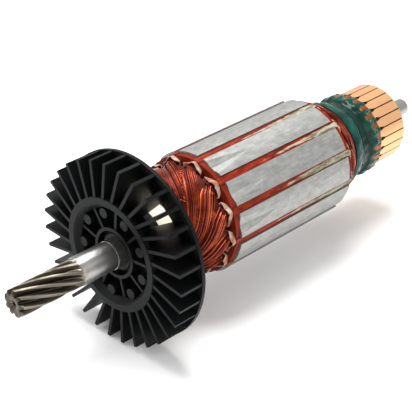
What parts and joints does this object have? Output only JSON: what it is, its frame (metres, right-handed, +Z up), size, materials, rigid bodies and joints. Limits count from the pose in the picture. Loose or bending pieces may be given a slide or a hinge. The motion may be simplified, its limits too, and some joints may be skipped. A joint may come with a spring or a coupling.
{
  "type": "motor armature",
  "caption": "Wound motor armature with slotted laminated core, radial fan, helical pinion on the shaft and copper commutator.",
  "frame": {"origin": "on the shaft axis, in the middle of the drive-end bearing seat", "axes": "+X along the shaft towards the commutator end, +Z up; the pinion points to -X"},
  "size_m": [0.2364, 0.0792, 0.0792],
  "materials": {
    "steel": "ground and oiled",
    "fan_plastic": "moulded, slightly shiny",
    "ivory_plastic": "satin",
    "brown_insulation": "satin",
    "laminations": "bare ground sheet edges, faintly varnished",
    "red_insulation": "varnished",
    "enamelled_wire": "enamelled copper, varnished",
    "commutator_moulding": "moulded",
    "green_resin": "glossy trickle resin",
    "liner_film": "thin film, soaked with varnish",
    "wedge_strip": "varnished strip",
    "commutator_copper": "turned copper"
  },
  "bodies": {
    "root": {"shaft": "steel", "fan": "fan_plastic", "spacer_bush": "ivory_plastic", "shaft_tube": "brown_insulation", "core": "laminations", "insulator_front": "red_insulation", "insulator_rear": "red_insulation", "winding": "enamelled_wire", "commutator_mould": "commutator_moulding", "resin": "green_resin", "slot_liner_1": "liner_film", "slot_liner_2": "liner_film", "slot_liner_3": "liner_film", "slot_liner_4": "liner_film", "slot_liner_5": "liner_film", "slot_liner_6": "liner_film", "slot_liner_7": "liner_film", "slot_liner_8": "liner_film", "slot_liner_9": "liner_film", "slot_liner_10": "liner_film", "slot_liner_11": "liner_film", "slot_liner_12": "liner_film", "slot_wedge_1": "wedge_strip", "slot_wedge_2": "wedge_strip", "slot_wedge_3": "wedge_strip", "slot_wedge_4": "wedge_strip", "slot_wedge_5": "wedge_strip", "slot_wedge_6": "wedge_strip", "slot_wedge_7": "wedge_strip", "slot_wedge_8": "wedge_strip", "slot_wedge_9": "wedge_strip", "slot_wedge_10": "wedge_strip", "slot_wedge_11": "wedge_strip", "slot_wedge_12": "wedge_strip", "bar_1": "commutator_copper", "bar_2": "commutator_copper", "bar_3": "commutator_copper", "bar_4": "commutator_copper", "bar_5": "commutator_copper", "bar_6": "commutator_copper", "bar_7": "commutator_copper", "bar_8": "commutator_copper", "bar_9": "commutator_copper", "bar_10": "commutator_copper", "bar_11": "commutator_copper", "bar_12": "commutator_copper", "bar_13": "commutator_copper", "bar_14": "commutator_copper", "bar_15": "commutator_copper", "bar_16": "commutator_copper", "bar_17": "commutator_copper", "bar_18": "commutator_copper", "bar_19": "commutator_copper", "bar_20": "commutator_copper", "bar_21": "commutator_copper", "bar_22": "commutator_copper", "bar_23": "commutator_copper", "bar_24": "commutator_copper"}
  },
  "joints": []
}
